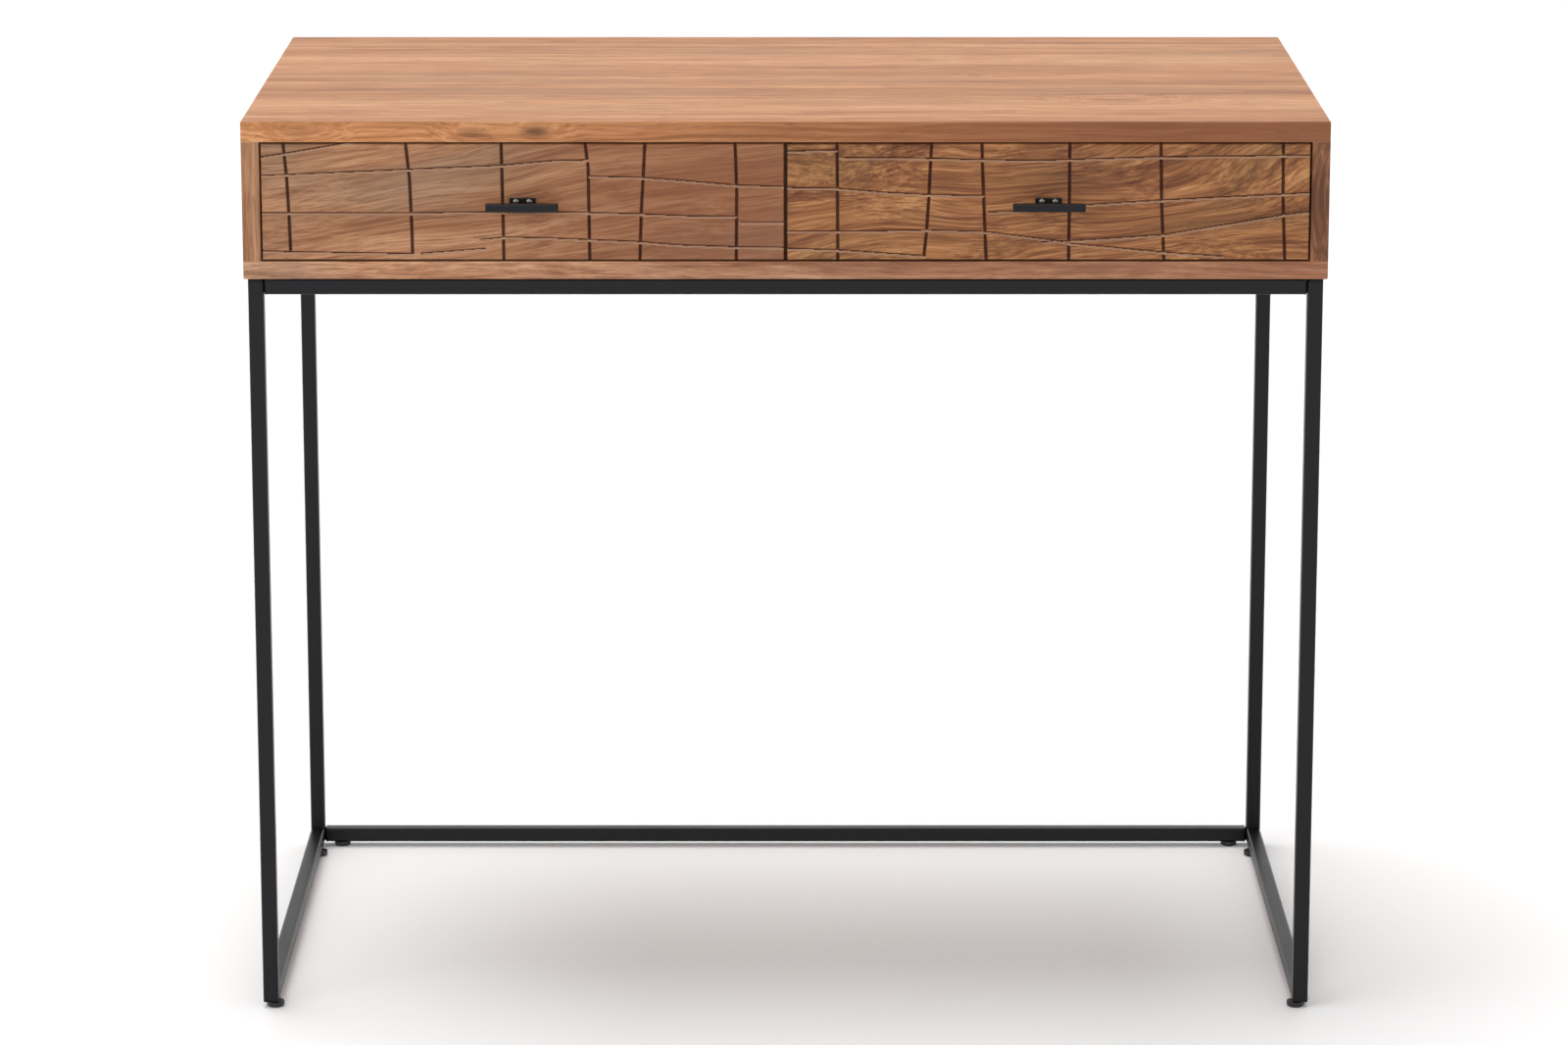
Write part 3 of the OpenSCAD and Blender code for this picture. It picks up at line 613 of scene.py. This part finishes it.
RIGHT_CUTS = (
    ((0.095, 1.02), (0.096, 0.6), (0.097, -0.02)),
    ((0.276, 1.02), (0.274, 0.84), (0.271, 0.54), (0.267, 0.24), (0.262, 0.03)),
    ((0.372, 1.02), (0.373, 0.84), (0.376, 0.54), (0.379, 0.24), (0.382, -0.02)),
    ((0.54, 1.02), (0.54, -0.02)),
    ((0.714, 1.02), (0.717, 0.48), (0.723, -0.02)),
    ((0.948, 1.02), (0.949, 0.55), (0.955, -0.02)),
    ((-0.01, 0.93), (0.093, 0.942)),
    ((0.103, 0.878), (0.276, 0.87), (0.373, 0.858), (0.49, 0.853), (0.714, 0.882), (0.948, 0.895),
     (1.01, 0.895)),
    ((-0.01, 0.62), (0.095, 0.613), (0.185, 0.577), (0.272, 0.558), (0.374, 0.548)),
    ((0.386, 0.407), (0.44, 0.417), (0.57, 0.47), (0.716, 0.51), (0.949, 0.562), (1.01, 0.577)),
    ((-0.01, 0.24), (0.15, 0.24), (0.268, 0.253), (0.38, 0.237), (0.508, 0.165), (0.54, 0.138),
     (0.72, 0.06), (0.835, 0.025)),
    ((-0.01, 0.095), (0.096, 0.08), (0.263, 0.028)),
    ((0.49, 0.15), (0.54, 0.157), (0.72, 0.21), (0.952, 0.383), (1.01, 0.415)),
)
print("cuts:", len(LEFT_CUTS), "on the left front,", len(RIGHT_CUTS), "on the right")

# %% [markdown]
# A front is a fine height field: each point sinks by the depth of the nearest cut. A gouge cut is
# deepest in the middle and its walls are a little hollow, so the depth follows a soft V.

# %% How deep the gouge went
CUT_WIDTH, CUT_DEPTH = 3.4 * MM, 2.0 * MM


def gouge(x, z, width, height, cuts):
    """Depth at each point, from 0 on the face to 1 at the bottom of a cut, and whether the point
    lies on the upper wall of its cut."""
    nearest, above = np.full(x.shape, 1.0), np.zeros(x.shape, bool)
    for cut in cuts:
        route = [np.array((u * width, v * height)) for u, v in cut]
        for start, end in zip(route, route[1:]):
            run = end - start
            part = ((x - start[0]) * run[0] + (z - start[1]) * run[1]) / run.dot(run)
            part = np.clip(part, 0, 1)
            rise = z - start[1] - part * run[1]
            gap = np.hypot(x - start[0] - part * run[0], rise)
            above = np.where(gap < nearest, rise > 0, above)
            nearest = np.minimum(nearest, gap)
    wall = np.clip(1 - nearest / (CUT_WIDTH / 2), 0, 1)
    return wall * (1.25 - 0.25 * wall), above


def is_upright(cut):
    return abs(cut[-1][0] - cut[0][0]) < 0.06


print("upright cuts:", sum(map(is_upright, LEFT_CUTS + RIGHT_CUTS)))

# %% [markdown]
# Two values are stored on the points for the material. Painted shade darkens the upright cuts and
# the upper walls of the level ones, which light from above leaves dark. A painted highlight pales
# the lower lips that face the light, also where a level cut crosses an upright one.
#
# The points stand 0.7 mm apart. Along the border they roll back over the eased edge, and hand
# sanding leaves the whole face up to 0.06 mm uneven.

# %% The face of a front
EASE, GRID, UNEVEN = 0.9 * MM, 0.7 * MM, 0.06 * MM


def carved_face(x, z, width, height, cuts):
    """How far back each point lies, its painted shade and its painted highlight."""
    upright, _ = gouge(x, z, width, height, [cut for cut in cuts if is_upright(cut)])
    level, above = gouge(x, z, width, height, [cut for cut in cuts if not is_upright(cut)])
    depth = np.maximum(upright, level)
    # Painted shade: upright cuts and upper walls of level cuts. Painted highlight: lower walls.
    painted_cut_shade = np.where(above, 0.95 * level, 0)
    painted_cut_shade = np.maximum(upright * (1 - np.clip(1.6 * level, 0, 1)), painted_cut_shade)
    painted_lip_highlight = np.where(above, 0, np.clip(4 * level, 0, 1)) * (1 - 0.5 * np.clip(level - 0.5, 0, 1))
    border = np.minimum(np.minimum(x, width - x), np.minimum(z, height - z))
    curve = np.clip(EASE - border, 0, EASE)
    roll = EASE - np.sqrt(EASE**2 - curve**2)
    sanding = UNEVEN * np.sin(x * 41 + 3 * np.sin(z * 30)) * np.sin(z * 57)
    return np.maximum(depth * CUT_DEPTH, roll) + np.abs(sanding), painted_cut_shade, painted_lip_highlight


print("points are", round(GRID / MM, 2), "mm apart")

# %% [markdown]
# The face becomes quads between neighbouring points. A copy of its rim at the back plane, a ring of
# walls and one back face close it to a solid.

# %% The two fronts
def carved_front(node, name, cuts, material, body):
    low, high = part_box(node)
    width, height = high.x - low.x, high.z - low.z
    columns, rows = round(width / GRID) + 1, round(height / GRID) + 1
    x, z = np.meshgrid(np.linspace(0, width, columns), np.linspace(0, height, rows))
    sunk, painted_cut_shade, painted_lip_highlight = carved_face(x, z, width, height, cuts)
    points = np.stack((x + low.x, low.y + sunk, z + low.z), axis=-1).reshape(-1, 3)
    index = np.arange(rows * columns).reshape(rows, columns)
    quads = np.stack((index[:-1, :-1], index[:-1, 1:], index[1:, 1:], index[1:, :-1]), axis=-1)
    rim = np.concatenate((index[0, :-1], index[:-1, -1], index[-1, :0:-1], index[:0:-1, 0]))
    back = points[rim].copy()
    back[:, 1] = high.y
    behind = len(points) + np.arange(len(rim))
    walls = np.stack((rim, np.roll(rim, -1), np.roll(behind, -1), behind), axis=-1)[:, ::-1]
    faces = quads.reshape(-1, 4).tolist() + walls.tolist() + [behind.tolist()]
    mesh = bpy.data.meshes.new(name)
    mesh.from_pydata(np.concatenate((points, back)).tolist(), [], faces)
    # The painted shade and the painted highlight go on the points for the material.
    for label, values in (("painted_cut_shade", painted_cut_shade), ("painted_lip_highlight", painted_lip_highlight)):
        layer = mesh.attributes.new(label, "FLOAT", "POINT")
        layer.data.foreach_set("value", np.concatenate((values.ravel(), np.zeros(len(rim)))))
    mesh.validate()
    finish_piece(name, mesh, material, body, [node])
    print(name, "points:", len(mesh.vertices), " deepest in mm:", round(sunk.max() / MM, 2))


carved_front("left_drawer_front", "left_carved_front", LEFT_CUTS, left_front_wood, LEFT)
carved_front("right_drawer_front", "right_carved_front", RIGHT_CUTS, right_front_wood, RIGHT)

# %% [markdown]
# ## Pulls
#
# Each pull is a bar welded across the end of a tongue, whose plate is screwed to the drawer front.
# The edges are rounded before coating, because powder creeps away from a sharp edge. The three
# parts are rounded boxes that run a little into each other, as a weld does.

# %% Pulls
TONGUE_WIDE, TONGUE_THICK, PLATE_THICK = 22 * MM, 3 * MM, 2 * MM
BAR_HIGH, BAR_DEEP = 6.5 * MM, 8 * MM
INTO_BAR, INTO_PLATE = 1.0 * MM, 0.5 * MM


def pull(side, body):
    low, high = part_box(side + "_pull")
    front_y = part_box(side + "_drawer_front")[0].y
    x, z = (low.x + high.x) / 2, low.z + BAR_HIGH / 2
    left, right = x - TONGUE_WIDE / 2, x + TONGUE_WIDE / 2
    bar = (Vector((low.x, low.y, low.z)), Vector((high.x, low.y + BAR_DEEP, low.z + BAR_HIGH)))
    tongue = (Vector((left, low.y + BAR_DEEP - INTO_BAR, z - TONGUE_THICK / 2)),
              Vector((right, front_y - PLATE_THICK + INTO_PLATE, z + TONGUE_THICK / 2)))
    plate = (Vector((left, front_y - PLATE_THICK, low.z)), Vector((right, front_y, high.z)))
    parts = (("bar", bar, 1.1 * MM), ("tongue", tongue, 0.6 * MM), ("plate", plate, 0.7 * MM))
    for label, (corner, opposite), ease in parts:
        mesh = rounded_box(corner, opposite, ease)
        finish_piece(f"{side}_pull_{label}", mesh, black_coat, body,
                     [side + "_pull"] if label == "bar" else [])
    print(side, "pull, length in mm:", round((high.x - low.x) / MM, 1))


for side, body in (("left", LEFT), ("right", RIGHT)):
    pull(side, body)

# %% [markdown]
# ## Pull screws
#
# The heads of the pull screws are plated domes, and are the only bright metal on the closed desk.
# A dome is rings of points that shrink towards its top. It is made round each head of the CAD node,
# which points along -Y.

# %% Domed screw heads
DOME_RISE, DOME_BASE, RIM_SUNK = 1.5 * MM, 1.4 * MM, 0.2 * MM
RINGS, SIDES = 7, 32


def dome(form, x, y, z, head):
    """Adds one closed dome to a form. Its base lies at y and it rises along -Y."""
    angles = [math.pi / 2 * k / RINGS for k in range(RINGS)]
    profile = [(head * math.cos(t), DOME_RISE * math.sin(t)) for t in angles]
    turn = [2 * math.pi * k / SIDES for k in range(SIDES)]
    loops = [[form.verts.new((x + radius * math.cos(a), y - rise, z + radius * math.sin(a)))
              for a in turn] for radius, rise in [(head, -RIM_SUNK)] + profile]
    for lower, upper in zip(loops, loops[1:]):
        for k in range(SIDES):
            after = (k + 1) % SIDES
            form.faces.new((lower[k], lower[after], upper[after], upper[k]))
    form.faces.new(loops[-1])
    form.faces.new(reversed(loops[0]))


def dome_screws(node, name, body, material):
    low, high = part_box(node)
    head = (high.z - low.z) / 2
    form = bmesh.new()
    for x in (low.x + head, high.x - head):
        dome(form, x, low.y + DOME_BASE, (low.z + high.z) / 2, head)
    bmesh.ops.recalc_face_normals(form, faces=form.faces[:])
    for face in form.faces:
        face.smooth = len(face.verts) == 4
    mesh = bpy.data.meshes.new(name)
    form.to_mesh(mesh)
    form.free()
    print(name, "across in mm:", round(2 * head / MM, 1))
    finish_piece(name, mesh, material, body, [node])


for side, body in (("left", LEFT), ("right", RIGHT)):
    dome_screws(side + "_pull_screws", side + "_pull_screw_heads", body, nickel)

# %% [markdown]
# ## Parts that keep their CAD shape
#
# The tubes, plates, plugs, bolts, glides, runners and drawer boxes are already right. They keep
# their mesh, and each only gets the finish that its material slot names. The sides of a drawer box
# are the exception, because their grain runs from front to back.

# %% Finishes by slot
FINISH = {
    "acacia": box_wood, "plywood": plywood, "beech": beech, "black_steel": black_coat,
    "black_bolt": black_oxide, "zinc_steel": zinc, "bright_steel": nickel,
    "black_plastic": polyethylene,
}
slots = {part["node"]: part["material_slot"] for part in frame["record"]["subparts"]}
for node, thing in frame["nodes"].items():
    along_y = node.endswith(("drawer_left_side", "drawer_right_side"))
    thing.data.materials.clear()
    thing.data.materials.append(box_side_wood if along_y else FINISH[slots[node]])
print("finishes used:", sorted(set(slots.values())))

# %% [markdown]
# A small bevel modifier softens the drawer boxes and the ends of the legs, without changing the CAD
# mesh itself. A weld before it joins the points that neighbouring faces share, because a bevel
# needs connected faces.

# %% Softened edges on CAD shapes
def soften(node, width):
    thing = frame["nodes"][node]
    weld = thing.modifiers.new("join_faces", "WELD")
    weld.merge_threshold = 0.01 * MM
    bevel = thing.modifiers.new("soft_edges", "BEVEL")
    bevel.width, bevel.segments = width, 2
    bevel.limit_method, bevel.angle_limit = "ANGLE", math.radians(50)
    bevel.use_clamp_overlap = False


soften("leg_end_plates", 1.2 * MM)
box_boards = [f"{side}_drawer_{part}" for side in ("left", "right")
              for part in ("left_side", "right_side", "back")]
for node in box_boards:
    soften(node, 0.8 * MM)
print("softened:", 1 + len(box_boards), "nodes")

# %% [markdown]
# ## Studio
#
# A pale floor that reaches to the horizon, an even sky that is brightest low down, one wide light
# overhead and a large soft one on the left. White surroundings are what give a slim black frame its
# shape: the faces it turns upwards pick up a grey sheen.

# %% Floor
FLOOR_HALF, FLOOR_MOTTLE = 30.0, 330 * MM


def pale_floor(half):
    material, tree = new_material("pale_floor")
    place = add(tree, "ShaderNodeTexCoord").outputs["Object"]
    mottle = add(tree, "ShaderNodeTexNoise", {"Vector": place, "Scale": 1 / FLOOR_MOTTLE,
                                              "Detail": 2.0})
    tone = add(tree, "ShaderNodeMapRange", {"Value": mottle.outputs["Fac"], "To Min": 0.93,
                                            "To Max": 0.96})
    surface(tree, {"Base Color": tone.outputs["Result"], "Roughness": 0.8})
    mesh = bpy.data.meshes.new("pale_floor")
    mesh.from_pydata([(-half, -half, 0), (half, -half, 0), (half, half, 0), (-half, half, 0)], [],
                     [(0, 1, 2, 3)])
    mesh.materials.append(material)
    floor = bpy.data.objects.new("pale_floor", mesh)
    bpy.context.scene.collection.objects.link(floor)


pale_floor(FLOOR_HALF)
print("floor, m across:", 2 * FLOOR_HALF)

# %% [markdown]
# The sky is plain white light that fades with height, from the horizon to 37 degrees above it.
# View transform Standard keeps white surroundings white.

# %% Sky
HORIZON_GLOW, HIGH_GLOW = 1.7, 0.36
world = bpy.data.worlds.new("even_sky")
world.use_nodes = True
sky = world.node_tree
up = add(sky, "ShaderNodeTexCoord").outputs["Generated"]
height = add(sky, "ShaderNodeSeparateXYZ", {"Vector": up}).outputs["Z"]
glow = add(sky, "ShaderNodeMapRange", {"Value": height, "From Min": 0.0, "From Max": 0.6,
                                       "To Min": HORIZON_GLOW, "To Max": HIGH_GLOW})
sky.links.new(glow.outputs["Result"], sky.nodes["Background"].inputs["Strength"])
sky.nodes["Background"].inputs["Color"].default_value = (1, 1, 1, 1)
bpy.context.scene.world = world
bpy.context.scene.view_settings.view_transform = "Standard"
print("sky strength, low and high:", HORIZON_GLOW, HIGH_GLOW)

# %% [markdown]
# The overhead light is a sun with a wide angle, so its shadows are soft. The left light is a panel
# 1.6 m square, two metres to the left and in front, which makes the left side of the case paler
# than the right one.

# %% Lights
def aim(thing, place, target):
    thing.location = place
    thing.rotation_euler = (Vector(target) - Vector(place)).to_track_quat("-Z", "Y").to_euler()
    bpy.context.scene.collection.objects.link(thing)


overhead = bpy.data.lights.new("overhead", "SUN")
overhead.energy, overhead.angle = 2.0, math.radians(42)
aim(bpy.data.objects.new("overhead", overhead), (-0.5, 0.6, 4), (0, 0, 0))
left_light = bpy.data.lights.new("left_light", "AREA")
left_light.shape, left_light.size, left_light.size_y = "RECTANGLE", 1.6, 1.6
left_light.energy = 18
aim(bpy.data.objects.new("left_light", left_light), (-2.0, -2.2, 1.9), (-0.2, 0, 0.6))
print("lights:", [light.name for light in bpy.data.lights])

# %% [markdown]
# The camera stands well back with a long lens, so the legs stay almost parallel. It is 0.7 m above
# the top and tips down by 12.75 degrees, which shows the top board as a narrow band.

# %% Camera
TIP_DOWN = 12.75
lens = bpy.data.cameras.new("camera")
lens.sensor_width, lens.lens = 36.0, 126.3
lens.shift_x, lens.shift_y = -0.001, -0.0191
lens.clip_start, lens.clip_end = 0.1, 100
camera = bpy.data.objects.new("camera", lens)
camera.location = (0, -4.732, 1.468)
camera.rotation_euler = (math.radians(90 - TIP_DOWN), 0, 0)
bpy.context.scene.collection.objects.link(camera)
bpy.context.scene.camera = camera
